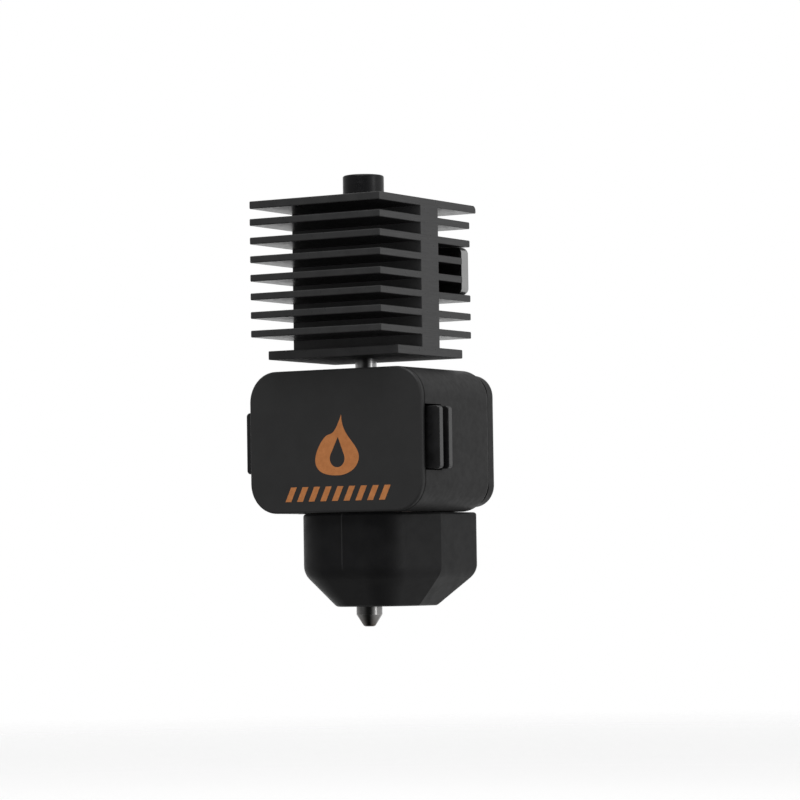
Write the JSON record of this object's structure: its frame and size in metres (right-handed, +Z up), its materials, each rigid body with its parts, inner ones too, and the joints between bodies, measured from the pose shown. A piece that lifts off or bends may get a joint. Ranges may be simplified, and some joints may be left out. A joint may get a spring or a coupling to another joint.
{
  "type": "hotend assembly",
  "caption": "Compact 3D-printer hotend: finned black heatsink on a thin steel tube, boxed heater block with side latch lugs, and a pull-off silicone boot around the nozzle.",
  "frame": {"origin": "centre of the nozzle's tip, on the filament axis, which is also the bottom centre of the whole part", "axes": "+Z up along the filament axis towards the inlet collar, -Y to the marked front cover, +X to the right-hand latch lug"},
  "size_m": [0.0298, 0.0244, 0.0594],
  "materials": {
    "black_anodised_fins": "fine bead-blasted black anodising with slightly lighter cut edges",
    "collar_black": "polished black anodising",
    "tube_steel": "drawn and polished stainless steel",
    "nozzle_steel": "turned, hardened steel",
    "block_copper": "nickel-plated copper, milled",
    "heater_ceramic": "sintered white alumina",
    "spring_steel": "stamped stainless sheet",
    "screw_steel": "zinc-plated steel",
    "screw_black": "black oxide steel",
    "lug_black": "satin black coated steel with brighter edges",
    "nickel_plate": "satin nickel plate",
    "insulation_fibre": "pressed ceramic fibre",
    "housing_black": "fine-textured black high-temperature plastic",
    "cover_black": "smooth satin black",
    "marking_orange": "orange ink, slightly worn",
    "grommet_rubber": "soft matt rubber",
    "boot_silicone": "soft moulded silicone with a silky sheen"
  },
  "bodies": {
    "hotend": {"heatsink": "black_anodised_fins", "tube_set_screws": "screw_steel", "rear_magnet": "nickel_plate", "inlet_collar": "collar_black", "heat_break_tube": "tube_steel", "nozzle": "nozzle_steel", "heater_block": "block_copper", "ceramic_heater": "heater_ceramic", "heater_clamp": "spring_steel", "heater_clamp_screws": "screw_steel", "thermistor": "tube_steel", "thermistor_screw": "screw_steel", "latch_yoke": "lug_black", "yoke_screws": "screw_steel", "front_insulation": "insulation_fibre", "top_insulation": "insulation_fibre", "rear_insulation": "insulation_fibre", "housing_sleeve": "housing_black", "front_cover": "cover_black", "flame_inlay": "marking_orange", "stripe_inlays": "marking_orange", "rear_cap": "housing_black", "housing_screws": "screw_black", "lead_grommet": "grommet_rubber"},
    "boot": {"silicone_boot": "boot_silicone"}
  },
  "joints": [
    {"name": "boot_pull", "type": "slide", "parent": "hotend", "child": "boot", "axis": [0, 0, -1], "range_m": [0, 0.016]}
  ]
}
